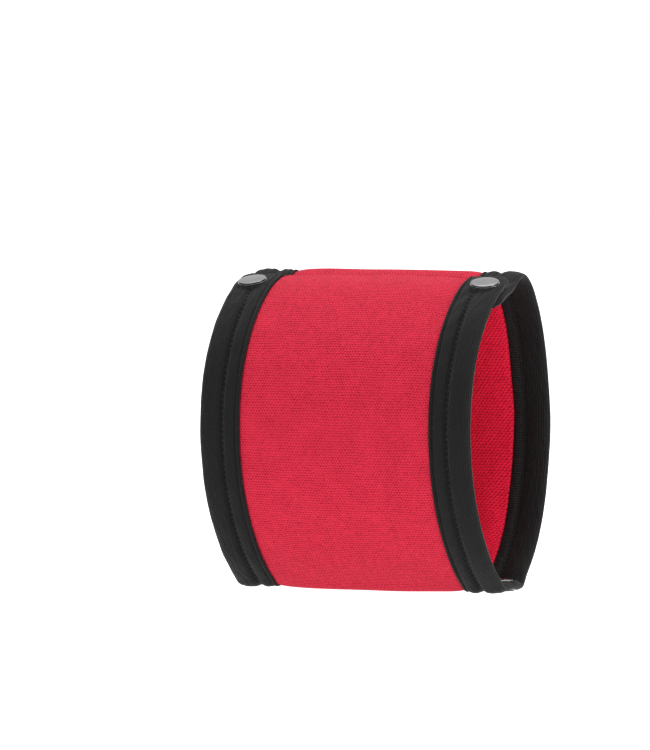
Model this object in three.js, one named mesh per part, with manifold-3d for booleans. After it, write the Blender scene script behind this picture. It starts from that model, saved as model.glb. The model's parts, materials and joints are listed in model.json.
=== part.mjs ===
// Ankle cuff weight: one padded strip, closed into a loop by two press studs under its flap.
// Millimetres. X runs along the cuff's axis, -Y is the front, +Z is up; the origin is the middle of the
// footprint, on the surface that the cuff stands on.
import * as THREE from "three";
import { mergeVertices } from "three/addons/utils/BufferGeometryUtils.js";
import Module from "manifold-3d";

const wasm = await Module();
wasm.setup();

// ---- driving dimensions ----
const HALF_WIDTH = 50; // from the middle of the strip to a rim
const OUTER_TAPE = 14.8; // width of the edge tape on the outer face
const INNER_TAPE = 13.3; // and on the inner face
const TAPE = 0.7; // thickness of the edge tape
const TAPE_FACE = 0.6; // outer face of the tape, below the crown of the padding
const MARGIN = 0.5; // thickness of the cover and of the lining inside the folded tape
const CLEAR = 0.3; // gap between two pieces that lie against each other
const LAP = 3.8; // depth of the tab's outer face under the flap's
const TAB_REACH = 16; // how far the tab passes under the flap, from the flap's end
const HINGE_GAP = 1.5; // slit between two sections of the strip
const SNAP_X = 43.4; // press studs, from the middle of the strip
const SNAP_RADIUS = 5.15; // cap of a press stud
const TOP_SNAP = 9; // centre of the closing press studs, from the flap's end
const BOTTOM_SNAP = 158; // centre of the second setting's sockets, from the flap's end
const STEP = 9; // length of one straight stretch of a bent section
const CORNER_STEP = 4.6; // and of the bottom section, which turns a corner
const SLIVER = 0.02; // edges shorter than this are merged away

// Lengths of the strip's sections from the flap's end, and what fills each. The tab takes what is left.
const SECTIONS = [
  { name: "front_flap", length: 27, fill: "foam" },
  { name: "front_upper", length: 38, fill: "weight" },
  { name: "front_middle", length: 38, fill: "weight" },
  { name: "front_lower", length: 38, fill: "weight" },
  { name: "bottom", length: 33, fill: "flat" },
  { name: "back_lower", length: 37, fill: "weight" },
  { name: "back_middle", length: 37, fill: "weight" },
  { name: "back_upper", length: 37, fill: "weight" },
  { name: "back_tab", length: Infinity, fill: "foam" },
];

// ---- finishes ----
const red = new THREE.MeshStandardMaterial({ color: 0xcc2b43, roughness: 0.85, metalness: 0 });
const deepRed = new THREE.MeshStandardMaterial({ color: 0xb1102a, roughness: 0.9, metalness: 0 });
const black = new THREE.MeshStandardMaterial({ color: 0x222222, roughness: 0.9, metalness: 0 });
const grey = new THREE.MeshStandardMaterial({ color: 0x6a6a6c, roughness: 0.8, metalness: 0 });
const steel = new THREE.MeshStandardMaterial({ color: 0xa0a0a0, roughness: 0.3, metalness: 1 });

// ---- the line that the strip's outer face follows, seen along X ----
const point = (y, z) => new THREE.Vector3(0, y, z);
const spline = (points) => {
  const curve = new THREE.CatmullRomCurve3(points, false, "centripetal");
  curve.arcLengthDivisions = 1200;
  return curve;
};

const loop = [
  point(0, 111), point(-10.8, 107.4), point(-22.7, 99.6), point(-32.2, 89.4), point(-39.4, 75.4),
  point(-42, 59), point(-39.4, 40.8), point(-32.2, 25.2), point(-21.5, 11.8), point(-11, 3.2),
  point(-6, 0), point(2, 0), point(8, 0), point(13, 0),
  point(18, 4.6), point(26, 12), point(33, 22), point(38.5, 36), point(42, 58), point(39.2, 76),
  point(34.4, 91), point(28.2, 101.5), point(21, 109.2), point(12.5, 112.5),
];

// A place on a curve: how far along it, then how deep below the strip's outer face.
function frameAt(curve, along) {
  const u = THREE.MathUtils.clamp(along / curve.getLength(), 0, 1);
  const tangent = curve.getTangentAt(u);
  return { origin: curve.getPointAt(u), tangent, inward: new THREE.Vector3(0, -tangent.z, tangent.y) };
}

function below(curve, along, depth) {
  const { origin, inward } = frameAt(curve, along);
  return origin.addScaledVector(inward, depth);
}

// The tab passes under the flap, always the same depth below it.
const flapLine = spline(loop);
const tabLine = [1, 6, 11, TAB_REACH].map((along) => below(flapLine, along, LAP));
const strip = spline([...loop, ...tabLine]);

// ---- shape helpers ----
function closed(geometry) {
  geometry.deleteAttribute("normal");
  geometry.deleteAttribute("uv");
  return mergeVertices(geometry, 1e-5);
}

// Carries a section, given as [x, depth] points, along a stretch of the strip.
function along(section, from, to, steps) {
  const shape = new THREE.Shape(section.map(([x, depth]) => new THREE.Vector2(depth, x)));
  const geometry = closed(new THREE.ExtrudeGeometry(shape, { depth: to - from, steps, bevelEnabled: false }));
  const position = geometry.getAttribute("position");
  for (let i = 0; i < position.count; i += 1) {
    const place = below(strip, from + position.getZ(i), position.getX(i));
    const height = Math.max(place.z, 0); // pressed flat where it stands
    position.setXYZ(i, position.getY(i), place.y, height);
  }
  return geometry;
}

function toSolid(geometry) {
  return new wasm.Manifold(
    new wasm.Mesh({
      numProp: 3,
      vertProperties: new Float32Array(geometry.getAttribute("position").array),
      triVerts: new Uint32Array(geometry.getIndex().array),
    }),
  );
}

function toGeometry(solid) {
  const { vertProperties, triVerts } = solid.simplify(SLIVER).getMesh();
  const geometry = new THREE.BufferGeometry();
  geometry.setAttribute("position", new THREE.BufferAttribute(vertProperties, 3));
  geometry.setIndex(new THREE.BufferAttribute(triVerts, 1));
  return geometry;
}

// Stands a turned part on the strip: its axis points out of the outer face, its height is minus the depth.
function standOn(geometry, distance, x) {
  const { origin, tangent, inward } = frameAt(strip, distance);
  const basis = new THREE.Matrix4().makeBasis(new THREE.Vector3(1, 0, 0), inward.negate(), tangent);
  basis.setPosition(x, origin.y, origin.z);
  return geometry.applyMatrix4(basis);
}

function turned(profile, segments) {
  const points = profile.map(([radius, depth]) => new THREE.Vector2(radius, -depth));
  return closed(new THREE.LatheGeometry(points, segments));
}

// A hole bored from one depth to another at a press stud's place.
function bore(distance, x, radius, from, to) {
  const geometry = closed(new THREE.CylinderGeometry(radius, radius, to - from, 16));
  geometry.translate(0, -(from + to) / 2, 0);
  return toSolid(standOn(geometry, distance, x));
}

// ---- sections across the strip, as [x, depth] points ----
const mirrored = (half) => [...half.map(([x, d]) => [-x, d]).reverse(), ...half];
const between = (face, back) => [...mirrored(face), ...mirrored(back).reverse()]; // halves, middle first
const tapeEdge = HALF_WIDTH - OUTER_TAPE - CLEAR; // where the cover meets the outer tape
const liningEdge = HALF_WIDTH - INNER_TAPE - CLEAR; // where the lining meets the inner tape
const marginEdge = HALF_WIDTH - TAPE - 0.5; // cover and lining end inside the folded tape
const coverMargin = [TAPE_FACE + TAPE + CLEAR, TAPE_FACE + TAPE + CLEAR + MARGIN];
const liningMargin = [coverMargin[1] + CLEAR, coverMargin[1] + CLEAR + MARGIN];
const innerTape = [liningMargin[1] + CLEAR, liningMargin[1] + CLEAR + TAPE];
const PAD_SIDE = 22; // half width of the nearly level middle of the padding
const PACK_SIDE = 31; // half width of a weight pack
const POCKET_SIDE = 33.4; // half width of the pocket that holds it
const TURN = 0.3; // how far the padding's edge rounds over before it dips under the tape
const COVER_EDGE = 1.1; // depth of the cover where it rounds over
const LINING_EDGE = 4.2; // and of the lining

function coverSection(fill) {
  const [middle, side] = { weight: [0, 0.25], foam: [0.5, 0.6], flat: [0, 0] }[fill];
  const face = [[0, middle], [PAD_SIDE, side], [tapeEdge - TURN, COVER_EDGE], [tapeEdge, coverMargin[0]],
    [marginEdge, coverMargin[0]]];
  const pocket = [[0, 1.05], [PAD_SIDE, 1.3], [POCKET_SIDE - 0.5, 1.95], [POCKET_SIDE, coverMargin[1]]];
  return between(face, [...(fill === "weight" ? pocket : []), [marginEdge, coverMargin[1]]]);
}

function liningSection(fill) {
  const [middle, side] = { weight: [5.6, 5.4], foam: [3.9, 3.9], flat: [4.4, 4.4] }[fill];
  const rounded = Math.min(side, LINING_EDGE);
  const face = [[0, middle], [PAD_SIDE, side], [liningEdge - TURN, rounded], [liningEdge, liningMargin[1]],
    [marginEdge, liningMargin[1]]];
  const pocket = [[0, 4.6], [PAD_SIDE, 4.4], [POCKET_SIDE - 0.5, 3.6], [POCKET_SIDE, liningMargin[0]]];
  return between(face, [...(fill === "weight" ? pocket : []), [marginEdge, liningMargin[0]]]);
}

function packSection() {
  const face = [[0, 1.4], [PAD_SIDE, 1.65], [PACK_SIDE, 2.4]];
  const back = [[0, 4.3], [PAD_SIDE, 4.05], [PACK_SIDE, 3.1]];
  return between(face, back);
}

// The tape folds round the rim: an outer leg, the rim, and a narrower inner leg.
function tapeSection(side) {
  const rim = HALF_WIDTH;
  const inside = HALF_WIDTH - TAPE;
  const ease = 0.8; // corner cut off at the fold
  return [
    [rim - OUTER_TAPE, TAPE_FACE], [rim - ease, TAPE_FACE], [rim, TAPE_FACE + ease],
    [rim, innerTape[1] - ease], [rim - ease, innerTape[1]], [rim - INNER_TAPE, innerTape[1]],
    [rim - INNER_TAPE, innerTape[0]], [inside, innerTape[0]], [inside, TAPE_FACE + TAPE],
    [rim - OUTER_TAPE, TAPE_FACE + TAPE],
  ].map(([x, d]) => [side * x, d]);
}

// ---- the press studs ----
const CAP_HEIGHT = 1.1;
const SHANK = 1.5; // radius of a cap's shank
const WELL = 0.6; // thickness of a socket's floor
const SOCKET_RADIUS = 4.6;
const STUD_RADIUS = 4.3;
const FLANGE = 1.1; // thickness of a stud's flange
const shankTip = coverMargin[1] + 0.05;
const socketSeat = liningMargin[0];
const flapMouth = innerTape[1] + 0.3;
const bottomMouth = innerTape[1] + 0.7;
const studSeat = LAP + TAPE_FACE + 1.2;
const studTip = socketSeat + WELL + 0.25;
const postSeat = LAP + innerTape[1] + 0.2;

// A cap: a low dome with a turned-in rim, and a shank through the outer tape and the cover.
function capProfile(seat) {
  return [
    [0, shankTip], [SHANK, shankTip], [SHANK, seat], [SNAP_RADIUS - 0.2, seat], [SNAP_RADIUS, seat - 0.25],
    [SNAP_RADIUS - 0.1, seat - 0.55], [4.4, seat - 0.85], [2.4, seat - 1.05], [0, seat - CAP_HEIGHT],
  ];
}

// A socket: a ring with a floor, its mouth slightly narrower than its well.
function socketProfile(mouth) {
  const floor = socketSeat + WELL;
  return [
    [0, floor], [2.7, floor], [2.7, mouth - 0.6], [2.3, mouth - 0.2], [2.6, mouth],
    [4.2, mouth], [SOCKET_RADIUS, mouth - 0.35], [SOCKET_RADIUS, socketSeat], [0, socketSeat],
  ];
}

// A stud: a flange with a hollow, necked head that stands up into the socket.
const hollow = studTip + 0.8;
const studProfile = [
  [0, hollow], [1.3, hollow], [1.3, studSeat], [STUD_RADIUS, studSeat],
  [STUD_RADIUS, studSeat - FLANGE + 0.25], [4.05, studSeat - FLANGE], [1.75, studSeat - FLANGE],
  [1.75, studTip + 0.9], [1.95, studTip + 0.6], [1.95, studTip + 0.3], [1.6, studTip], [0, studTip],
];

// A post: a flat head on the tab's inner face, and a shank up into the stud.
const postTip = hollow + 0.3;
const postProfile = [
  [0, postSeat + 0.9], [3.2, postSeat + 0.85], [4.1, postSeat + 0.6], [4.3, postSeat + 0.25],
  [4.1, postSeat], [1, postSeat], [1, postTip], [0, postTip],
];

// Bores through the fabric, as [radius, from, to], at each kind of press stud.
const PAST = 3; // how far a bore runs past a face that it opens
const flapBores = [[1.8, -PAST, socketSeat], [4.9, socketSeat - 0.15, socketSeat + PAST]];
const bottomBores = [[5.45, -PAST, coverMargin[0] - 0.1], ...flapBores];
const tabBores = [
  [4.6, LAP - PAST, studSeat + 0.2], [1.5, studSeat, postSeat], [4.6, postSeat - 0.3, postSeat + PAST],
];

// ---- assembly ----
const cuff = new THREE.Group();

function add(parent, name, geometry, material) {
  const mesh = new THREE.Mesh(geometry, material);
  mesh.name = name;
  parent.add(mesh);
}

const bored = {
  front_flap: [TOP_SNAP, flapBores],
  bottom: [BOTTOM_SNAP, bottomBores],
  back_tab: [TOP_SNAP, tabBores],
};

function pierced(geometry, section) {
  if (!(section in bored)) return geometry;
  const [distance, bores] = bored[section];
  let solid = toSolid(geometry);
  for (const x of [-SNAP_X, SNAP_X]) {
    for (const [radius, from, to] of bores) solid = solid.subtract(bore(distance, x, radius, from, to));
  }
  return toGeometry(solid);
}

const PACK_END = 2.5; // fabric left beyond each end of a weight pack
let reached = 0;
for (const { name, length, fill } of SECTIONS) {
  const group = new THREE.Group();
  const from = reached === 0 ? 0 : reached + HINGE_GAP / 2;
  const to = Math.min(reached + length - HINGE_GAP / 2, strip.getLength());
  const steps = Math.ceil((to - from) / (fill === "flat" ? CORNER_STEP : STEP));
  const sew = (section) => pierced(along(section, from, to, steps), name);
  add(group, `${name}_cover`, sew(coverSection(fill)), red);
  add(group, `${name}_lining`, sew(liningSection(fill)), deepRed);
  add(group, `${name}_left_binding`, sew(tapeSection(-1)), black);
  add(group, `${name}_right_binding`, sew(tapeSection(1)), black);
  if (fill === "weight") {
    add(group, `${name}_weight_pack`, along(packSection(), from + PACK_END, to - PACK_END, steps), grey);
  }
  cuff.add(group);
  reached += length;
}

for (const [side, x] of [["left", -SNAP_X], ["right", SNAP_X]]) {
  const stud = (name, profile, distance, segments) =>
    add(cuff, name, standOn(turned(profile, segments), distance, x), steel);
  stud(`${side}_snap_cap`, capProfile(TAPE_FACE - CLEAR), TOP_SNAP, 20);
  stud(`${side}_snap_socket`, socketProfile(flapMouth), TOP_SNAP, 14);
  stud(`${side}_snap_stud`, studProfile, TOP_SNAP, 14);
  stud(`${side}_snap_post`, postProfile, TOP_SNAP, 14);
  stud(`${side}_lower_cap`, capProfile(coverMargin[0] - CLEAR + 0.05), BOTTOM_SNAP, 20);
  stud(`${side}_lower_socket`, socketProfile(bottomMouth), BOTTOM_SNAP, 14);
}

export default cuff;
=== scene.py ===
import json
import math

import bpy
import numpy as np
from mathutils import Matrix, Vector

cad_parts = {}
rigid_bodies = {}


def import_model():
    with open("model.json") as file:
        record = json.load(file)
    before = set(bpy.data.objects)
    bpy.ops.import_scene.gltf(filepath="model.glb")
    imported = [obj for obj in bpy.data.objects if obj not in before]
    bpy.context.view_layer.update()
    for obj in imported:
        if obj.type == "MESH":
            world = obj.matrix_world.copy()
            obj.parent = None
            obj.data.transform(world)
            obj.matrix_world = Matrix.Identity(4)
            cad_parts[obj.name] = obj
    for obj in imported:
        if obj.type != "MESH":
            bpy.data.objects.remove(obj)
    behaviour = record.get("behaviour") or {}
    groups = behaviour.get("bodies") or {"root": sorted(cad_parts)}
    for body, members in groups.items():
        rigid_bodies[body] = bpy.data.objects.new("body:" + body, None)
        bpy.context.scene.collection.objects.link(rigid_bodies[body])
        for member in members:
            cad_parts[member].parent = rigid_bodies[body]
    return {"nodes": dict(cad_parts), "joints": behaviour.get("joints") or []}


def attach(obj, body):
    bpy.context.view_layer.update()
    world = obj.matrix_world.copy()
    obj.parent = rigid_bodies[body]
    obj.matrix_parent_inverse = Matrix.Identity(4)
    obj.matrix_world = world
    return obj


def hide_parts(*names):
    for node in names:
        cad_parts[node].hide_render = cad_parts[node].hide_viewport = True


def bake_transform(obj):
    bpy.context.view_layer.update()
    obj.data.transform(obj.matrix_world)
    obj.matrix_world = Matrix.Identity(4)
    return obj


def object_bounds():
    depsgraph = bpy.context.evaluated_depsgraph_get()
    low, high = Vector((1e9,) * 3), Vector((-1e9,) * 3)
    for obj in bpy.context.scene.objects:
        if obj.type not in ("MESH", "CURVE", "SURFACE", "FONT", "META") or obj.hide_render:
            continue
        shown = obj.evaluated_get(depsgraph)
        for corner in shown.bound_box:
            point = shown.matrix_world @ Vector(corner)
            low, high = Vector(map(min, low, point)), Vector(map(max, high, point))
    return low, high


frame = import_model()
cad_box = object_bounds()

# An ankle cuff weight: one padded strip with taped rims, bent into a loop and closed by press studs.
# Lengths are in millimetres and turn into metres where a mesh is made. A place on the strip is (s, x, d):
# s along it from the flap's end, x across it, and d below the line that its outer face follows.
MM = 0.001

# ---- driving dimensions, as the CAD has them ----
HALF_WIDTH = 50.0
OUTER_TAPE = 14.8
INNER_TAPE = 13.3
LAP = 3.8
SNAP_X = 43.4
TOP_SNAP = 9.0
BOTTOM_SNAP = 158.0
FLEX_DEPTH = 1.6
LOOP = [
    (0, 111), (-10.8, 107.4), (-22.7, 99.6), (-32.2, 89.4), (-39.4, 75.4),
    (-42, 59), (-39.4, 40.8), (-32.2, 25.2), (-21.5, 11.8), (-11, 3.2),
    (-6, 0), (2, 0), (8, 0), (13, 0),
    (18, 4.6), (26, 12), (33, 22), (38.5, 36), (42, 58), (39.2, 76),
    (34.4, 91), (28.2, 101.5), (21, 109.2), (12.5, 112.5),
]
UNDER_FLAP = [1, 6, 11, 16]
ORDER = ["front_flap", "front_upper", "front_middle", "front_lower", "bottom",
         "back_lower", "back_middle", "back_upper", "back_tab"]

# ---- driving dimensions of the looks ----
MIDDLE = 2.25  # depth of the middle of the strip's edges
TAPE_EDGE = HALF_WIDTH - OUTER_TAPE
LINING_EDGE = HALF_WIDTH - INNER_TAPE
GROOVE = 41.4  # the stitched groove along each tape
STITCH = 2.1  # length of one stitch with its gap
STATION = 0.5  # spacing of the meshes' rows along the strip
BEND = 7.5  # half length of a bend at a flex line
END_NOSE = 1.6  # rounding of the strip's two ends, seen from the side
FLAP_CORNER = 4.0  # rounding of the flap's corners, seen from above
TAB_CORNER = 4.5  # and of the tab's
RIB = 0.95  # spacing of the overlocked stitches on the inner tape
HEM = 1.4  # the seam that crosses the flap just before its end
HEM_DEPTH = 1.2
HEM_WIDTH = 0.32
LAP_REACH = 18.0  # how far from each end the strip is pressed flat by the closing press studs
LAP_FADE = 14.0  # the length over which it fills out again past that
FLOOR_GAP = 0.02  # the lowest that any place on the strip may lie
COVER_HALF = TAPE_EDGE - 0.2  # half width of the cover's face, which ends just under the tape
LINING_HALF = LINING_EDGE - 0.2
RIPPLE_WAVES = 7


# ---- the line of the strip ----
def catmull(points, per_span=48):
    """A dense centripetal Catmull-Rom curve through the points."""
    pts = np.array(points, float)
    pts = np.vstack([2 * pts[0] - pts[1], pts, 2 * pts[-1] - pts[-2]])
    out = []
    for p0, p1, p2, p3 in zip(pts, pts[1:], pts[2:], pts[3:]):
        t0, t1, t2 = (math.sqrt(np.linalg.norm(b - a)) for a, b in ((p0, p1), (p1, p2), (p2, p3)))
        m1 = ((p1 - p0) / t0 - (p2 - p0) / (t0 + t1) + (p2 - p1) / t1) * t1
        m2 = ((p2 - p1) / t1 - (p3 - p1) / (t1 + t2) + (p3 - p2) / t2) * t1
        t = np.linspace(0, 1, per_span, endpoint=False)[:, None]
        out.append(p1 * (2 * t**3 - 3 * t**2 + 1) + m1 * (t**3 - 2 * t**2 + t)
                   + p2 * (3 * t**2 - 2 * t**3) + m2 * (t**3 - t**2))
    return np.vstack(out + [pts[-2:-1]])


class Line:
    """A smooth curve through points (y, z), followed by the distance along it."""

    def __init__(self, points):
        self.p = catmull(points)
        step = np.linalg.norm(np.diff(self.p, axis=0), axis=1)
        self.s = np.concatenate([[0], np.cumsum(step)])
        self.length = float(self.s[-1])
        tangent = np.gradient(self.p, self.s, axis=0)
        self.t = tangent / np.linalg.norm(tangent, axis=1)[:, None]

    def at(self, s, table):
        return np.stack([np.interp(s, self.s, table[:, k]) for k in (0, 1)], -1)

    def place(self, s, x, d):
        """Points of the row frame, in millimetres, for arrays of s, x and d."""
        s, x, d = np.broadcast_arrays(np.asarray(s, float), x, d)
        here, tangent = self.at(s, self.p), self.at(s, self.t)
        y = here[..., 0] - tangent[..., 1] * d
        z = here[..., 1] + tangent[..., 0] * d
        return np.stack([x, y, np.maximum(z, FLOOR_GAP)], -1)


flap_line = Line(LOOP)
tab_points = [tuple(flap_line.place(s, 0, LAP)[1:]) for s in UNDER_FLAP]
strip = Line(LOOP + tab_points)


def point(s, x=0.0, d=0.0):
    """One place on the strip as a vector in metres."""
    return Vector(strip.place(s, x, d) * MM)


def station_of(pos_m):
    """Where along the strip a joint's axis lies."""
    axis = np.array(pos_m[1:]) / MM
    inner = strip.place(strip.s, 0, FLEX_DEPTH)[:, 1:]
    return float(strip.s[np.argmin(np.linalg.norm(inner - axis, axis=1))])


pair_of = {frozenset((j["parent"], j["child"])): j for j in frame["joints"]}
HINGES = [station_of(pair_of[frozenset(pair)]["pos_m"]) for pair in zip(ORDER, ORDER[1:])]
MIDS = [0.0] + [(a + b) / 2 for a, b in zip(HINGES, HINGES[1:])] + [strip.length]


# ---- small maths ----
def smooth(t):
    t = np.clip(t, 0, 1)
    return t * t * (3 - 2 * t)


def ripple(s, x, length, seed):
    """Smooth seeded unevenness of about unit size, with bumps of about the given length."""
    rng = np.random.default_rng(seed)
    total = np.zeros(np.broadcast(s, x).shape)
    for _ in range(RIPPLE_WAVES):
        angle, phase = rng.uniform(0, math.tau, 2)
        size = math.tau / (length * rng.uniform(0.7, 1.6))
        total = total + np.sin(size * (math.cos(angle) * s + math.sin(angle) * x) + phase)
    return total / math.sqrt(RIPPLE_WAVES)


def in_lap(s):
    """1 where flap and tab lie on each other, fading to 0 past the lap."""
    return 1 - smooth((np.minimum(s, strip.length - s) - LAP_REACH) / LAP_FADE)


def standing(s, shift, reach):
    """1 where the strip stands on the floor, fading to 0 past the given reach."""
    return np.exp(-(((s - BOTTOM_SNAP + shift) / reach) ** 4))


def bulk(s):
    """How full the padding is: full over the weights, flat in the lap, and thinner where the cuff stands."""
    return (1 - in_lap(s)) * (1 - 0.65 * standing(s, 2, 15))


def tucked(s):
    """How far the tape draws back into the edge, where the cuff stands and before the tab goes under.

    The second fades in from 62 to 40 mm before the tab's end, and out again from 20 to 12 mm before it.
    """
    dives = smooth((s - strip.length + 62) / 22) * (1 - smooth((s - strip.length + 20) / 8))
    return 0.45 * standing(s, 3, 16) + 0.7 * dives


def nose(s):
    """Share of the thickness left where the strip's two ends round off."""
    from_end = np.clip(np.minimum(s, strip.length - s) / END_NOSE, 0, 1)
    return np.sqrt(np.clip(1 - (1 - from_end) ** 2, 0.0016, 1))


def set_depth(s, d):
    return MIDDLE + (d - MIDDLE) * nose(s)


END_ROWS = [0.03, 0.15, 0.35]  # closer rows where the strip's ends round off
STATIONS = np.unique(np.round(np.concatenate([
    np.arange(0, strip.length, STATION),
    np.arange(0.6, 2.4, 0.1),  # closer rows across the hem
    MIDS,
    END_ROWS,
    strip.length - np.array(END_ROWS + [0.8]),
]), 4))


# ---- meshes ----
def new_mesh(name, verts, faces, uvs=None):
    """verts in metres; uvs, where given, are one pair for each face corner."""
    mesh = bpy.data.meshes.new(name)
    mesh.from_pydata([tuple(v) for v in verts], [], [tuple(f) for f in faces])
    if uvs is not None:
        mesh.uv_layers.new(name="strip").data.foreach_set("uv", np.asarray(uvs, float).ravel())
    mesh.shade_smooth()
    mesh.validate()
    obj = bpy.data.objects.new(name, mesh)
    bpy.context.scene.collection.objects.link(obj)
    return obj


def tube_quads(index):
    """The faces of a tube, from the numbers of its points, one row for each ring."""
    a, b = index[:-1], index[1:]
    return np.stack([a, b, np.roll(b, -1, 1), np.roll(a, -1, 1)], -1).reshape(-1, 4)


def sweep(name, rows, X, D, V):
    """A closed solid: row i is the closed outline (X[i], D[i]) at station rows[i].

    V is the weave's way round the outline. The first and last rows only steer the normals there, so that
    neighbouring pieces meet without a crease.
    """
    P = strip.place(rows[:, None], X, D) * MM
    along = np.gradient(P, rows, axis=0)[1:-1]
    around = (np.roll(P, -1, 1) - np.roll(P, 1, 1))[1:-1]
    normals = np.cross(along, around).reshape(-1, 3)
    normals /= np.maximum(np.linalg.norm(normals, axis=1), 1e-12)[:, None]
    P, rows = P[1:-1], rows[1:-1]
    n, m = P.shape[:2]
    index = np.arange(n * m).reshape(n, m)
    quads = tube_quads(index)
    U = np.repeat(rows[:, None], m, 1)
    seam = np.concatenate([V[1:], [V[-1] + 0.1]])  # the column that closes the outline runs on, unwrapped
    corner_u = np.stack([U[:-1], U[1:], U[1:], U[:-1]], -1)
    corner_v = np.broadcast_to(np.stack([V, V, seam, seam], -1), corner_u.shape)
    caps = [list(index[0]), list(index[-1][::-1])]
    cap_uvs = np.array([[rows[0], v] for v in V] + [[rows[-1], v] for v in V[::-1]]) * MM
    uvs = np.stack([corner_u, corner_v], -1).reshape(-1, 2) * MM
    outward = np.sign(volume(P.reshape(-1, 3), quads))
    if outward < 0:
        quads, caps = quads[:, ::-1], [c[::-1] for c in caps]
        uvs = uvs.reshape(-1, 4, 2)[:, ::-1].reshape(-1, 2)
        cap_uvs = cap_uvs.reshape(2, m, 2)[:, ::-1].reshape(-1, 2)
    obj = new_mesh(name, P.reshape(-1, 3), [list(q) for q in quads] + caps, np.vstack([uvs, cap_uvs]))
    obj.data.normals_split_custom_set_from_vertices((normals * outward).tolist())
    return obj


def volume(points, quads):
    """Signed volume under the quads of a tube, positive where they face out."""
    middle = points.mean(0)
    a, b, c, d = (points[quads[:, k]] - middle for k in range(4))
    return np.einsum("ij,ij->i", a, np.cross(b, c)).sum() + np.einsum("ij,ij->i", a, np.cross(c, d)).sum()


def facing_out(obj):
    """Turns a closed mesh right side out."""
    mesh = obj.data
    co = np.zeros(len(mesh.vertices) * 3)
    mesh.vertices.foreach_get("co", co)
    co = co.reshape(-1, 3)
    mesh.calc_loop_triangles()
    tri = np.zeros(len(mesh.loop_triangles) * 3, int)
    mesh.loop_triangles.foreach_get("vertices", tri)
    a, b, c = (co[tri.reshape(-1, 3)[:, k]] for k in range(3))
    if np.einsum("ij,ij->i", a, np.cross(b, c)).sum() < 0:
        mesh.flip_normals()
    return obj


def rows_between(i):
    """The stations of the piece that spans flex line i, with one more row beyond each end."""
    low, high = round(MIDS[i], 4), round(MIDS[i + 1], 4)
    inside = STATIONS[(STATIONS >= low - 1e-6) & (STATIONS <= high + 1e-6)]
    before = STATIONS[STATIONS < low - 1e-6][-1:] if i else [-0.02]
    after = STATIONS[STATIONS > high + 1e-6][:1] if i + 1 < len(HINGES) else [strip.length + 0.02]
    return np.concatenate([before, inside, after])


def bend_at(obj, i):
    """Bakes the piece's transform into its mesh. The ends of a bend across flex line i, between the two
    bodies that it joins, are worked out but not used.
    """
    start, end = point(HINGES[i] - BEND, 0, FLEX_DEPTH), point(HINGES[i] + BEND, 0, FLEX_DEPTH)
    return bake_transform(obj)


def piece_name(kind, i):
    return f"{kind}_{ORDER[i]}_to_{ORDER[i + 1]}"


def side_word(side):
    return "right" if side > 0 else "left"


def nodes_of(i, part):
    """The CAD nodes that piece i stands for: each section once, the flap with the first piece."""
    return [f"{ORDER[k]}_{part}" for k in ([0, 1] if i == 0 else [i + 1])]


# ---- padded fabric: the cover and the lining ----
PANEL_COLUMNS = 57
CLOTH_COLUMNS = 29
CLOTH_STEP = 1.8
CLOTH_FRAMES = 20
CLOTH_CAP = 0.7  # how far the cloth may stand off its drawn shape
CLOTH_EASE = 6  # rounds of smoothing, so that the cloth's own grid doesn't show
CROWN_POWER = 3.6  # the higher, the later the padding falls away towards its edge
LINING_DEPTH = 3.95  # where the lining lies flat
LINING_BULGE = 1.65  # how much deeper it lies over the weights
FABRIC = 0.45  # thickness of the cover and of the lining


def panel_x(edge, columns):
    return edge * np.sin(np.linspace(-1, 1, columns) * math.pi / 2)


def crown(x, edge, depth):
    """How far the padding falls away towards its edge."""
    return depth * (1 - np.sqrt(np.clip(1 - np.abs(x / edge) ** CROWN_POWER, 0, 1)))


def add_cloth(obj):
    """Cloth that is blown up a little, and held where the vertex group says."""
    cloth = obj.modifiers.new("Cloth", "CLOTH")
    use = cloth.settings
    use.quality = 5
    use.mass = 0.15
    use.tension_stiffness = use.compression_stiffness = 6
    use.shear_stiffness = 3
    use.bending_stiffness = 0.2
    use.shrink_min = -0.012
    use.use_pressure = True
    use.uniform_pressure_force = 4
    use.vertex_group_mass = "held"
    use.effector_weights.gravity = 0
    cloth.collision_settings.use_collision = False


def settled(obj):
    """Runs the cloth, removes its object, and returns where its points came to lie."""
    scene = bpy.context.scene
    for f in range(1, CLOTH_FRAMES + 1):
        scene.frame_set(f)
    moved = obj.evaluated_get(bpy.context.evaluated_depsgraph_get()).to_mesh()
    co = np.zeros(len(moved.vertices) * 3)
    moved.vertices.foreach_get("co", co)
    scene.frame_set(1)
    bpy.data.objects.remove(obj)
    return co


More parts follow.
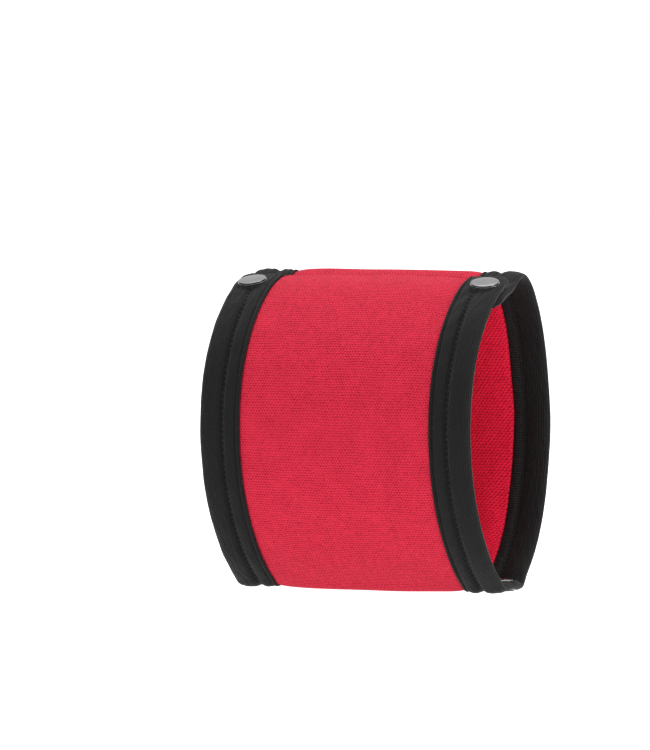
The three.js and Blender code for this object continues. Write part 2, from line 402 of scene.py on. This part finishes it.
def inflate(edge, face, outward, seed):
    """Runs cloth over the padding, held along its edges, and returns how far it stands off at (s, x)."""
    rows = np.arange(END_NOSE, strip.length - END_NOSE, CLOTH_STEP)
    x = panel_x(edge, CLOTH_COLUMNS)
    shape = (len(rows), len(x))
    P = strip.place(rows[:, None], x[None], face(rows[:, None], x[None]))
    P = P + 0.02 * ripple(rows[:, None], x[None], 7, seed)[..., None]
    index = np.arange(P.shape[0] * P.shape[1]).reshape(shape)
    a, b = index[:-1], index[1:]
    quads = np.stack([a[:, :-1], a[:, 1:], b[:, 1:], b[:, :-1]], -1).reshape(-1, 4)
    if not outward:
        quads = quads[:, ::-1]
    obj = new_mesh("cloth", P.reshape(-1, 3) * MM, quads)
    edge_rows = np.zeros(shape, bool)
    edge_rows[[0, 1, -2, -1]] = True
    edge_rows[:, [0, 1, -2, -1]] = True
    obj.vertex_groups.new(name="held").add(index[edge_rows].tolist(), 1.0, "REPLACE")
    add_cloth(obj)
    co = settled(obj)
    inward = strip.place(rows[:, None], x[None], 1.0) - strip.place(rows[:, None], x[None], 0.0)
    off = -((co.reshape(*shape, 3) / MM - P) * inward).sum(-1) * (1 if outward else -1)
    off = CLOTH_CAP * np.tanh(off / CLOTH_CAP)
    for _ in range(CLOTH_EASE):
        padded = np.pad(off, 1, mode="edge")
        off = (padded[:-2, 1:-1] + padded[2:, 1:-1] + padded[1:-1, :-2] + padded[1:-1, 2:] + 4 * off) / 8
    off = off * bulk(rows)[:, None]
    return lambda s, at_x: np.stack([
        np.interp(s, rows, [np.interp(v, x, line) for line in off]) for v in at_x], 1)


def cover_face(s, x):
    """Depth of the cover: nearly level, then rounding down to dip under the tape."""
    lap = in_lap(s)
    hem = HEM_DEPTH * np.exp(-(((s - HEM) / HEM_WIDTH) ** 2))
    return 0.3 * lap + hem + 0.5 * tucked(s) + crown(x, COVER_HALF, 1.8 - 0.4 * lap)


def lining_face(s, x):
    """Depth of the lining: it bulges inward over the weights."""
    return LINING_DEPTH + LINING_BULGE * bulk(s) * (1 - crown(x, LINING_HALF, 1.0))


def sheet(name, rows, x, face, margin, margin_d, thickness):
    """A closed sheet of fabric.

    Its face lies at columns x, its margins are tucked in under the tape, and its back follows the face.
    """
    n = len(rows)
    tuck = np.tile(margin_d, (n, 1))
    face_x = np.concatenate([-margin[::-1], x, margin])
    face_d = np.concatenate([tuck[:, ::-1], face, tuck], 1)
    back_x = np.concatenate([margin[::-1], x[::-4], -margin])
    back_d = np.concatenate([tuck[:, ::-1] + thickness, face[:, ::-4] + thickness, tuck + thickness], 1)
    X = np.tile(np.concatenate([face_x, back_x]), (n, 1))
    D = set_depth(rows[:, None], np.concatenate([face_d, back_d], 1))
    return sweep(name, rows, X, D, X[0])


def make_cover(i, stand_off):
    rows = rows_between(i)
    s, x = rows[:, None], panel_x(COVER_HALF, PANEL_COLUMNS)
    lumps = 0.06 * ripple(s, x[None], 24, 5) * (1 - (x[None] / TAPE_EDGE) ** 4)
    face = cover_face(s, x[None]) - stand_off(rows, x) - lumps
    margin = np.array([TAPE_EDGE + 0.15, TAPE_EDGE + 1.7])
    piece = sheet(piece_name("cover", i), rows, x, face, margin, [1.85, 1.9], FABRIC)
    return finish_piece(piece, i, "cover", red_knit)


def make_lining(i, stand_off):
    rows = rows_between(i)
    s, x = rows[:, None], panel_x(LINING_HALF, PANEL_COLUMNS)
    lumps = 0.08 * ripple(s, x[None], 16, 6) * (1 - (x[None] / LINING_EDGE) ** 4)
    face = lining_face(s, x[None]) + stand_off(rows, x) + lumps
    margin = np.array([LINING_EDGE + 0.15, LINING_EDGE + 1.6])
    piece = sheet(piece_name("lining", i), rows, x, face, margin, [2.85, 2.8], -FABRIC)
    return finish_piece(piece, i, "lining", lining_knit)


def finish_piece(piece, i, part, material):
    """Gives a piece its material, hides the CAD nodes that it stands for, and bakes its transform."""
    piece.data.materials.append(material)
    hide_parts(*nodes_of(i, part))
    bend_at(piece, i)
    return piece


# ---- the edge tape ----
# Its outline as (x, d): up from its edge on the cover, over the two puffed lanes on either side of the
# stitched groove, round the rim, and back over the inner lanes to its edge on the lining.
TAPE_OUTLINE = [
    (35.3, 1.75), (35.0, 1.35), (35.0, 0.9), (35.3, 0.62), (35.8, 0.6), (36.35, 1.1),
    (36.9, 0.66), (38.4, 0.35), (39.9, 0.5), (40.7, 1.15), (GROOVE, 1.75), (42.1, 1.15),
    (43.1, 0.45), (44.8, 0.25), (46.6, 0.3), (48.2, 0.6), (49.4, 1.25), (49.95, 2.15),
    (49.6, 3.05), (48.6, 3.65), (47, 3.95), (45, 4.05), (43.2, 3.85), (42.1, 3.55),
    (GROOVE, 3.25), (40.7, 3.55), (39.5, 3.85), (38.3, 3.95), (37.3, 3.75), (36.7, 3.3),
    (36.8, 2.95),
]
TAPE_INSIDE = [
    (40, 2.95), (44, 2.95), (47.6, 2.9), (48.3, 2.6), (48.3, 2.1), (47.6, 1.8), (44, 1.75),
    (40, 1.75), (36.4, 1.75),
]
TAPE_COLUMNS = 100
INSIDE_STEP = 3.0  # the weave's step from one hidden point of the inside to the next


def tape_outline():
    """The tape's outline at even steps, as x, d and the way along it."""
    curve = catmull(TAPE_OUTLINE, 24)
    way = np.concatenate([[0], np.cumsum(np.linalg.norm(np.diff(curve, axis=0), axis=1))])
    even = np.linspace(0, way[-1], TAPE_COLUMNS)
    return np.interp(even, way, curve[:, 0]), np.interp(even, way, curve[:, 1]), even


TAPE_X, TAPE_D, TAPE_V = tape_outline()
RIM = int(np.argmax(TAPE_X))
LEVEL = np.where(np.arange(TAPE_COLUMNS) < RIM, 0.75, 3.55)  # where each lane lies once pressed flat
FOLD_SPACING = 1.25  # of the small folds along the rim, near the flap's end
FOLD_REACH = 3.2  # how far from the rim they go
TOP_CAP_SEAT = 0.7  # depth of the cap's underside
BOTTOM_CAP_SEAT = 1.35
CAP_LEAN = (3.5, 0.05)  # the top caps follow the fabric a little nearer the flap's end, and tip outward
SEAT_RADIUS = 5.2  # the fabric is pressed level out to here,
SEAT_FADE = 1.3  # and rises again over this
# How deep the fabric is pressed round each press stud: (distance along, is it the outer face) -> depth.
SEATS = {
    (TOP_SNAP, True): TOP_CAP_SEAT + 0.02,
    (TOP_SNAP, False): 3.75,
    (BOTTOM_SNAP, True): 1.42,
    (BOTTOM_SNAP, False): 4.2,
}


def snap_matrix(s, x, lean):
    """The frame of a press stud: local Z points out of the strip's outer face. lean is (along, outward)."""
    origin = point(s, x, 0)
    out = (point(s - lean[0], x, 0) - point(s - lean[0], x, 1)).normalized()
    out = (out + Vector((math.copysign(lean[1], x), 0, 0))).normalized()
    along = out.cross(Vector((1, 0, 0))).normalized()
    basis = Matrix((along.cross(out), along, out)).transposed()
    return Matrix.Translation(origin) @ basis.to_4x4()


def level_under_cap(rows, depth):
    """Depth, at each row and column of the tape, of the plane that a leaning top cap lies on."""
    place = snap_matrix(TOP_SNAP, SNAP_X, CAP_LEAN)
    out = place.col[2].xyz
    level = np.zeros((len(rows), TAPE_COLUMNS))
    for k, s in enumerate(rows):
        start = point(s, 0, 0)
        rise = out.dot(point(s, 0, 1) - start)
        level[k] = (-depth * MM - out.dot(start - place.translation) - out.x * TAPE_X * MM) / rise
    return level


def tape_face(rows, side):
    """Depth of the tape's skin at each row and column, with its stitches, puckers and press stud seats."""
    s, x, d = rows[:, None], TAPE_X[None], TAPE_D[None]
    out = np.where(np.arange(TAPE_COLUMNS) < RIM, -1.0, 1.0)[None]
    lap = in_lap(s)
    inland = smooth((49.4 - x) / 1.5) * smooth((x - 37) / 1.5)
    d = d + 0.55 * lap * (LEVEL[None] - d) * inland
    d = d + np.where(out < 0, tucked(s), 0) * smooth((50.2 - x) / 1.5)
    near = np.exp(-(((x - GROOVE) / 1.1) ** 2))
    dots = 0.15 * near * np.cos(math.tau * s / STITCH)
    seed = 11 if side > 0 else 12
    puckers = (0.05 + 0.06 * lap) * ripple(s, 3 * x, 5.5, seed) + 0.10 * ripple(s, x, 19, seed + 10)
    from_rim = (TAPE_V - TAPE_V[RIM])[None]
    on_flap = s < strip.length / 2
    folds = 0.16 * lap * on_flap * np.cos(math.tau * from_rim / FOLD_SPACING)
    folds = folds * np.exp(-((from_rim / FOLD_REACH) ** 2))
    d = d + out * (puckers * smooth((x - TAPE_EDGE) / 1.5) + dots + folds)
    for (distance, outer), depth in SEATS.items():
        gap = np.hypot(s - distance, x - SNAP_X)
        pressed = (1 - smooth((gap - SEAT_RADIUS) / SEAT_FADE)) * (out < 0 if outer else out > 0)
        level = level_under_cap(rows, depth) if (distance, outer) == (TOP_SNAP, True) else depth
        d = d + (level - d) * pressed
    return d


def make_tape(i, side):
    rows = rows_between(i)
    n = len(rows)
    inside_x, inside_d = np.array(TAPE_INSIDE).T
    X = np.tile(np.concatenate([TAPE_X, inside_x]), (n, 1))
    D = np.concatenate([tape_face(rows, side), np.tile(inside_d, (n, 1))], 1)
    corner = np.where(rows < strip.length / 2, FLAP_CORNER, TAB_CORNER)
    from_end = np.clip(np.minimum(rows, strip.length - rows), 0, corner)
    cut = corner - np.sqrt(corner**2 - (corner - from_end) ** 2)
    X = X - cut[:, None] * np.clip((X - TAPE_EDGE) / OUTER_TAPE, 0, 1)
    D = set_depth(rows[:, None], D)
    V = np.concatenate([TAPE_V, TAPE_V[-1] + np.arange(1, len(TAPE_INSIDE) + 1) * INSIDE_STEP])
    word = side_word(side)
    piece = sweep(piece_name(f"tape_{word}", i), rows, X * side, D, V)
    return finish_piece(piece, i, f"{word}_binding", black_tape)


# ---- sewing thread ----
THREAD_RADIUS = 0.16
THREAD_SIDES = 6
THREAD_START = 3.0  # how far from the strip's ends the stitching starts
STITCH_REACH = STITCH * 0.36  # half length of one stitch
STITCH_STEPS = np.linspace(-1, 1, 7)
RIB_X = 38.9  # the middle of the inner lane
RIB_REACH = 1.5


def thread_run(places):
    """Verts and faces of one stitch, a thin tube through (s, x, d) places with closed ends."""
    P = np.array([strip.place(*p) for p in places]) * MM
    along = np.gradient(P, axis=0)
    along /= np.linalg.norm(along, axis=1)[:, None]
    side = np.cross(along, [0.31, 0.57, 0.76])  # a direction that no stitch follows
    side /= np.linalg.norm(side, axis=1)[:, None]
    up = np.cross(along, side)
    turn = np.arange(THREAD_SIDES) * math.tau / THREAD_SIDES
    swell = np.sqrt(np.clip(1 - np.linspace(-1, 1, len(P)) ** 6, 0.05, 1))[:, None, None]
    ring = np.cos(turn)[None, :, None] * side[:, None] + np.sin(turn)[None, :, None] * up[:, None]
    V = (P[:, None] + THREAD_RADIUS * MM * swell * ring).reshape(-1, 3)
    index = np.arange(len(V)).reshape(len(P), THREAD_SIDES)
    return V, [list(q) for q in tube_quads(index)] + [list(index[0]), list(index[-1][::-1])]


def depth_of_tape(s, x, side, inner):
    """Depth of the tape's outer or inner face at one place."""
    face = tape_face(np.array([s]), side)[0]
    pick = slice(RIM, None) if inner else slice(0, RIM)
    order = np.argsort(TAPE_X[pick])
    return float(np.interp(x, TAPE_X[pick][order], face[pick][order]))


def groove_stitches(low, high, side):
    """The straight row of stitches in the outer groove, each a list of (s, x, d) places."""
    runs = []
    for k in range(math.ceil(low / STITCH), math.ceil(high / STITCH)):
        if k * STITCH - STITCH_REACH < low or k * STITCH + STITCH_REACH > high:
            continue
        run = []
        for a in STITCH_STEPS:
            s = k * STITCH + a * STITCH_REACH
            d = depth_of_tape(s, GROOVE, side, False) + 0.12 - 0.2 * (1 - a**2)
            run.append((s, side * GROOVE, float(set_depth(s, d))))
        runs.append(run)
    return runs


def lane_ribs(low, high, side):
    """The close overlocked ribs across the inner lane, each a list of (s, x, d) places."""
    runs = []
    for k in range(math.ceil((low + 0.4) / RIB), math.ceil((high - 0.4) / RIB)):
        run = []
        for a in STITCH_STEPS:
            s = k * RIB + 0.3 * a**2
            x = RIB_X + RIB_REACH * a
            d = depth_of_tape(s, x, side, True) - 0.08 + 0.14 * (1 - a**2)
            run.append((s, side * x, float(set_depth(s, d))))
        runs.append(run)
    return runs


def make_thread(i, side):
    """All the thread on one tape between the middles of two sections, as one piece."""
    low, high = max(MIDS[i], THREAD_START), min(MIDS[i + 1], strip.length - THREAD_START)
    verts, faces, used = [], [], 0
    for run in groove_stitches(low, high, side) + lane_ribs(low, high, side):
        V, F = thread_run(run)
        verts.append(V)
        faces += [[used + q for q in f] for f in F]
        used += len(V)
    piece = new_mesh(piece_name(f"thread_{side_word(side)}", i), np.vstack(verts), faces)
    piece.data.materials.append(thread)
    bend_at(piece, i)
    return piece


# ---- press studs ----
TURN_STEPS = 72
CORNER_EASE = 0.14
SNAP_AXIS_RADIUS = 1e-6  # an outline point nearer the axis than this is one point, not a ring


def turned(name, outline, s, x, body, node, lean):
    """A turned metal part from its (radius, depth) outline, its sharp corners eased by short arcs."""
    pts = []
    corners = [np.array(p, float) for p in outline]
    for k, p in enumerate(corners):
        if k in (0, len(corners) - 1):
            pts.append(p)
            continue
        before, after = corners[k - 1] - p, corners[k + 1] - p
        ease = min(CORNER_EASE, np.linalg.norm(before) * 0.4, np.linalg.norm(after) * 0.4)
        a = p + before / np.linalg.norm(before) * ease
        b = p + after / np.linalg.norm(after) * ease
        pts += [a, (a + b + 2 * p) / 4, b]
    turn = np.arange(TURN_STEPS) * math.tau / TURN_STEPS
    verts, rings = [], []
    for radius, depth in pts:
        if radius < SNAP_AXIS_RADIUS:
            rings.append([len(verts)])
            verts.append((0, 0, -depth * MM))
        else:
            rings.append(list(range(len(verts), len(verts) + TURN_STEPS)))
            verts += [(radius * MM * math.cos(t), radius * MM * math.sin(t), -depth * MM) for t in turn]
    faces = []
    for a, b in zip(rings, rings[1:]):
        for k in range(TURN_STEPS):
            n = (k + 1) % TURN_STEPS
            if len(a) == 1:
                faces.append((a[0], b[n], b[k]))
            elif len(b) == 1:
                faces.append((a[k], a[n], b[0]))
            else:
                faces.append((a[k], a[n], b[n], b[k]))
    obj = new_mesh(name, verts, faces)
    obj.data.transform(snap_matrix(s, x, lean))
    facing_out(obj)
    obj.data.materials.append(nickel)
    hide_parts(node)
    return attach(obj, body)


def cap_outline(seat):
    """A low domed cap with a rolled rim over a narrow groove, and its shank."""
    shank = [(0, 2.15), (1.5, 2.15), (1.5, seat)]
    rim = [(4.9, 0), (5.15, 0.06), (5.15, 0.2)]
    groove = [(4.2, 0.24), (4.2, 0.6)]
    dome = [
        (4.8, 0.62), (4.95, 0.7), (4.85, 0.78), (4.2, 0.87),
        (3.2, 0.95), (2.2, 1.0), (1.1, 1.03), (0, 1.04),
    ]
    return shank + [(radius, seat - rise) for radius, rise in rim + groove + dome]


def socket_outline(mouth):
    """A cup whose mouth, at the given depth, is rolled in to hold the stud."""
    return [
        (0, 3.0), (2.7, 3.0), (2.7, mouth - 0.6), (2.3, mouth - 0.25), (2.45, mouth - 0.02),
        (3.3, mouth), (4.2, mouth - 0.02), (4.55, mouth - 0.35), (4.6, 2.7), (4.35, 2.4), (0, 2.4),
    ]


TOP_MOUTH = 4.2
BOTTOM_MOUTH = 4.6
STUD_OUTLINE = [
    (0, 4.05), (1.3, 4.05), (1.3, 5.6), (4.3, 5.6), (4.3, 4.85), (4.05, 4.5), (2.4, 4.5),
    (1.8, 4.35), (1.72, 4.1), (1.95, 3.85), (1.95, 3.55), (1.65, 3.3), (0, 3.25),
]
POST_OUTLINE = [
    (0, 8.8), (2.6, 8.8), (3.6, 8.65), (4.2, 8.35), (4.3, 8.1), (4.1, 7.9), (1, 7.9),
    (1, 4.35), (0, 4.35),
]


def make_snaps():
    for word, x in (("left", -SNAP_X), ("right", SNAP_X)):
        for kind, outline, s, body, node in (
            ("cap", cap_outline(TOP_CAP_SEAT), TOP_SNAP, "front_flap", "snap_cap"),
            ("socket", socket_outline(TOP_MOUTH), TOP_SNAP, "front_flap", "snap_socket"),
            ("stud", STUD_OUTLINE, TOP_SNAP, "back_tab", "snap_stud"),
            ("post", POST_OUTLINE, TOP_SNAP, "back_tab", "snap_post"),
            ("lower_cap", cap_outline(BOTTOM_CAP_SEAT), BOTTOM_SNAP, "bottom", "lower_cap"),
            ("lower_socket", socket_outline(BOTTOM_MOUTH), BOTTOM_SNAP, "bottom", "lower_socket"),
        ):
            lean = CAP_LEAN if kind == "cap" else (0, 0)
            turned(f"press_{word}_{kind}", outline, s, x, body, f"{word}_{node}", lean)


# ---- materials ----
class Nodes:
    """A material's node tree, with short calls for the nodes used here."""

    def __init__(self, name):
        self.material = bpy.data.materials.new(name)
        self.material.use_nodes = True
        self.tree = self.material.node_tree
        self.shader = self.tree.nodes["Principled BSDF"]

    def node(self, kind, inputs=(), **settings):
        made = self.tree.nodes.new(kind)
        for key, value in settings.items():
            setattr(made, key, value)
        for key, value in dict(inputs).items():
            if isinstance(value, bpy.types.NodeSocket):
                self.tree.links.new(value, made.inputs[key])
            else:
                made.inputs[key].default_value = value
        return made

    def math(self, operation, a, b=0.0, c=0.0, clamp=False):
        made = self.node("ShaderNodeMath", {0: a, 1: b, 2: c}, operation=operation, use_clamp=clamp)
        return made.outputs[0]

    def wave(self, coordinate, period):
        """The sine of a coordinate in metres, with the given period in millimetres, from 0 to 1."""
        turns = self.math("MULTIPLY", coordinate, math.tau / (period * MM))
        return self.math("MULTIPLY_ADD", self.math("SINE", turns), 0.5, 0.5)

    def noise(self, where, scale, detail, output="Fac"):
        made = self.node("ShaderNodeTexNoise", {"Vector": where, "Scale": scale, "Detail": detail})
        return made.outputs[output]

    def between(self, factor, low, high):
        """A colour between two tones."""
        mix = self.node("ShaderNodeMix", {"Factor": factor}, data_type="RGBA")
        mix.inputs[6].default_value = low
        mix.inputs[7].default_value = high
        return mix.outputs[2]

    def surface(self, colour, height, strength, depth):
        """Joins the colour and a relief, whose depth is in metres, to the shader."""
        relief = self.node("ShaderNodeBump", {"Height": height, "Strength": strength, "Distance": depth})
        self.tree.links.new(colour, self.shader.inputs["Base Color"])
        self.tree.links.new(relief.outputs[0], self.shader.inputs["Normal"])

    def roughness(self, unevenness, spread, least):
        rough = self.math("MULTIPLY_ADD", unevenness, spread, least)
        self.tree.links.new(rough, self.shader.inputs["Roughness"])

    def set(self, **values):
        for key, value in values.items():
            self.shader.inputs[key.replace("_", " ")].default_value = value


def srgb(r, g, b):
    """A linear colour from values of 0 to 255."""
    def linear(c):
        c /= 255
        return c / 12.92 if c <= 0.04045 else ((c + 0.055) / 1.055) ** 2.4
    return (linear(r), linear(g), linear(b), 1.0)


def strip_coordinates(n):
    """The place on the strip in metres, bent a little by noise so that no row of knit is dead straight.

    Returns it as a vector, and its parts along and across.
    """
    uv = n.node("ShaderNodeUVMap", uv_map="strip").outputs[0]
    bent = uv
    middle = (0.5, 0.5, 0.5)
    for scale, detail, reach in ((90.0, 2.0, 0.0009), (700.0, 1.0, 0.0007)):
        noise = n.noise(uv, scale, detail, "Color")
        shift = n.node("ShaderNodeVectorMath", {0: noise, 1: middle}, operation="SUBTRACT").outputs[0]
        small = n.node("ShaderNodeVectorMath", {0: shift, "Scale": reach}, operation="SCALE").outputs[0]
        bent = n.node("ShaderNodeVectorMath", {0: bent, 1: small}, operation="ADD").outputs[0]
    split = n.node("ShaderNodeSeparateXYZ", {0: bent})
    return bent, split.outputs[0], split.outputs[1]


FRONT_MIDDLE = 0.075  # metres along the strip
FRONT_REACH = 0.07
FUZZ_SHARE = 0.5


def stitch_holes(n, vector, along, across, rows, slant):
    """How dark the knit is: rows of small holes, and a slanting twill that turns over down the front."""
    leaned = n.math("MULTIPLY", across, slant)
    one = n.wave(n.math("ADD", along, leaned), 2 * rows)
    other = n.wave(n.math("SUBTRACT", along, leaned), 2 * rows)
    courses = n.math("POWER", n.wave(along, rows), 2.0)
    dots = n.math("MULTIPLY", one, other)
    turn_over = n.math("MULTIPLY_ADD", along, 1 / FRONT_REACH, -0.6, clamp=True)
    twill = n.node("ShaderNodeMix", {"Factor": turn_over}, data_type="FLOAT")
    n.tree.links.new(one, twill.inputs[2])
    n.tree.links.new(other, twill.inputs[3])
    lines = n.math("ADD", n.math("MULTIPLY", courses, 0.5), n.math("MULTIPLY", twill.outputs[0], 0.25))
    uneven = n.noise(vector, 520.0, 4.0)
    pattern = n.math("ADD", n.math("MULTIPLY", dots, 0.45), lines)
    return n.math("MULTIPLY", pattern, n.math("ADD", uneven, 0.3))


def knit(name, low, high, rows, slant, contrast, tint):
    """A knitted fabric with fuzz and blotches; rows is the spacing of its rows in millimetres."""
    n = Nodes(name)
    vector, along, across = strip_coordinates(n)
    holes = stitch_holes(n, vector, along, across, rows, slant)
    fuzz = n.noise(vector, 2200.0, 3.0)
    blotch = n.noise(vector, 120.0, 4.0)
    # The knit shows least in the middle of the front, and more towards the flap, the bottom and the back:
    # painted shade in its holes, for light that grazes the cloth where it turns away from the front.
    away = n.math("ABSOLUTE", n.math("SUBTRACT", along, FRONT_MIDDLE))
    from_front = n.math("MULTIPLY", away, 1 / FRONT_REACH, clamp=True)
    painted_shade_strength = n.math("MULTIPLY", n.math("MULTIPLY_ADD", from_front, 0.9, 0.7), contrast)
    marks = n.math("MULTIPLY", n.math("SUBTRACT", holes, 0.34), painted_shade_strength)
    shade = n.math("SUBTRACT", n.math("MULTIPLY", blotch, 0.35), marks)
    shade = n.math("ADD", shade, n.math("MULTIPLY_ADD", fuzz, FUZZ_SHARE, 0.11), clamp=True)
    colour = n.between(shade, low, high)
    height = n.math("SUBTRACT", n.math("MULTIPLY", fuzz, FUZZ_SHARE), holes)
    n.surface(colour, height, 0.6, 0.0003)
    n.roughness(fuzz, 0.12, 0.75)
    n.set(Sheen_Weight=0.04, Sheen_Roughness=0.4, Sheen_Tint=tint, Specular_IOR_Level=0.12)
    return n.material


def ribbed(name, low, high, pitch):
    """A stretch tape: fine ribs along it, crossed by a fainter weave, with a dusty nap."""
    n = Nodes(name)
    vector, along, across = strip_coordinates(n)
    ribs = n.math("POWER", n.wave(across, pitch), 1.5)
    weave = n.math("MULTIPLY", n.wave(along, 0.7), 0.3)
    fuzz = n.noise(vector, 2400.0, 3.0)
    worn = n.noise(vector, 170.0, 4.0)
    raised = n.math("ADD", n.math("MULTIPLY", ribs, n.math("ADD", worn, 0.1)), weave)
    shade = n.math("MULTIPLY_ADD", fuzz, 0.4, n.math("MULTIPLY", raised, 0.7), clamp=True)
    n.surface(n.between(shade, low, high), raised, 0.6, 0.0003)
    n.set(Roughness=0.75, Sheen_Weight=0.08, Sheen_Roughness=0.35, Sheen_Tint=(0.9, 0.88, 0.86, 1.0),
          Specular_IOR_Level=0.12)
    return n.material


def metal(name, colour, roughness):
    """Plated metal with smudges and a fine grain."""
    n = Nodes(name)
    where = n.node("ShaderNodeTexCoord").outputs["Object"]
    smudge = n.noise(where, 380.0, 4.0)
    grain = n.noise(where, 5200.0, 2.0)
    darker = tuple(c * 0.82 for c in colour[:3]) + (1.0,)
    n.surface(n.between(smudge, darker, colour), grain, 0.012, 0.0001)
    n.roughness(smudge, 0.14, roughness)
    n.set(Metallic=1.0)
    return n.material


def speckled(name, low, high, scale, roughness):
    """A matt surface whose colour drifts between two tones."""
    n = Nodes(name)
    where = n.node("ShaderNodeTexCoord").outputs["Object"]
    noise = n.noise(where, scale, 5.0)
    n.surface(n.between(noise, low, high), noise, 0.3, 0.0002)
    n.set(Roughness=roughness)
    return n.material


red_knit = knit("red_knit", srgb(130, 6, 26), srgb(205, 42, 67), rows=0.95, slant=1.8, contrast=1.15,
                tint=(1.0, 0.35, 0.4, 1.0))
lining_knit = knit("lining_knit", srgb(150, 3, 26), srgb(228, 32, 66), rows=1.05, slant=1.5, contrast=0.75,
                   tint=(1.0, 0.3, 0.35, 1.0))
black_tape = ribbed("black_tape", srgb(7, 7, 7), srgb(29, 29, 29), 0.85)
thread = speckled("black_thread", srgb(7, 7, 8), srgb(22, 22, 23), 900.0, 0.75)
nickel = metal("nickel", srgb(130, 129, 130), 0.18)
pouch = speckled("iron_pouch", srgb(70, 70, 74), srgb(110, 110, 114), 500.0, 0.8)


# ---- stage, lights and camera ----
VIEW_AZIMUTH = 21.8
VIEW_ELEVATION = 2.5
VIEW_DISTANCE = 2500.0
VIEW_HEIGHT = 261.324  # height of what the picture shows, at the object's middle
AIM_ASIDE = -17.979  # where the camera aims: this far to the right of the object's middle,
AIM_ABOVE = 19.408  # and this far above it
FLOOR_HALF = 6.0  # metres
FLOOR_GLOW = 1.25  # the floor gives light of its own, which shows it white and lifts the cuff's bottom
AIM_HEIGHT = 0.05  # the lights aim at this height above the floor's middle, in metres


def make_camera():
    a, e = math.radians(VIEW_AZIMUTH), math.radians(VIEW_ELEVATION)
    back = Vector((math.sin(a) * math.cos(e), -math.cos(a) * math.cos(e), math.sin(e)))
    right = Vector((math.cos(a), math.sin(a), 0))
    up = back.cross(right)
    middle = (cad_box[0] + cad_box[1]) / 2
    target = middle + right * (AIM_ASIDE * MM) + up * (AIM_ABOVE * MM)
    data = bpy.data.cameras.new("camera")
    data.lens = VIEW_DISTANCE / VIEW_HEIGHT * data.sensor_width
    data.clip_start, data.clip_end = 0.1, 50
    camera = bpy.data.objects.new("camera", data)
    camera.location = target + back * VIEW_DISTANCE * MM
    camera.rotation_mode = "QUATERNION"
    camera.rotation_quaternion = back.to_track_quat("Z", "Y")
    bpy.context.scene.collection.objects.link(camera)
    bpy.context.scene.camera = camera


def area_light(name, place, size, power):
    """A white rectangular light; place and size in metres, power in watts."""
    data = bpy.data.lights.new(name, "AREA")
    data.shape, data.size, data.size_y = "RECTANGLE", size[0], size[1]
    data.energy = power
    light = bpy.data.objects.new(name, data)
    light.location = place
    light.rotation_mode = "QUATERNION"
    light.rotation_quaternion = (Vector(place) - Vector((0, 0, AIM_HEIGHT))).to_track_quat("Z", "Y")
    bpy.context.scene.collection.objects.link(light)


def make_stage():
    corners = [(x * FLOOR_HALF, y * FLOOR_HALF, 0) for x, y in ((-1, -1), (1, -1), (1, 1), (-1, 1))]
    floor = new_mesh("floor", corners, [(0, 1, 2, 3)])
    lit = speckled("pale_floor", srgb(150, 150, 150), srgb(154, 154, 154), 3.0, 0.9)
    glow = lit.node_tree.nodes["Principled BSDF"].inputs
    glow["Emission Color"].default_value = (1, 1, 1, 1)
    glow["Emission Strength"].default_value = FLOOR_GLOW
    floor.data.materials.append(lit)
    world = bpy.data.worlds.new("studio")
    world.use_nodes = True
    background = world.node_tree.nodes["Background"].inputs
    background["Color"].default_value = (1, 1, 1, 1)
    background["Strength"].default_value = 1.0
    bpy.context.scene.world = world
    area_light("top", (-0.1, 0.2, 1.3), (1.4, 1.4), 13)
    area_light("glint", (0.55, -0.8, 0.45), (0.12, 0.05), 0.6)
    area_light("low_fill", (0.1, -0.9, 0.06), (1.2, 0.12), 0.2)
    area_light("side", (1.1, 0.1, 0.3), (0.4, 0.6), 8)
    bpy.context.scene.view_settings.view_transform = "Standard"


# ---- the object ----
make_camera()
make_stage()
cover_off = inflate(COVER_HALF, cover_face, True, 3)
lining_off = inflate(LINING_HALF, lining_face, False, 4)
for i in range(len(HINGES)):
    make_cover(i, cover_off)
    make_lining(i, lining_off)
    for side in (-1, 1):
        make_tape(i, side)
        make_thread(i, side)
make_snaps()
for name, node in frame["nodes"].items():
    if name.endswith("_weight_pack"):
        node.data.materials.clear()
        node.data.materials.append(pouch)
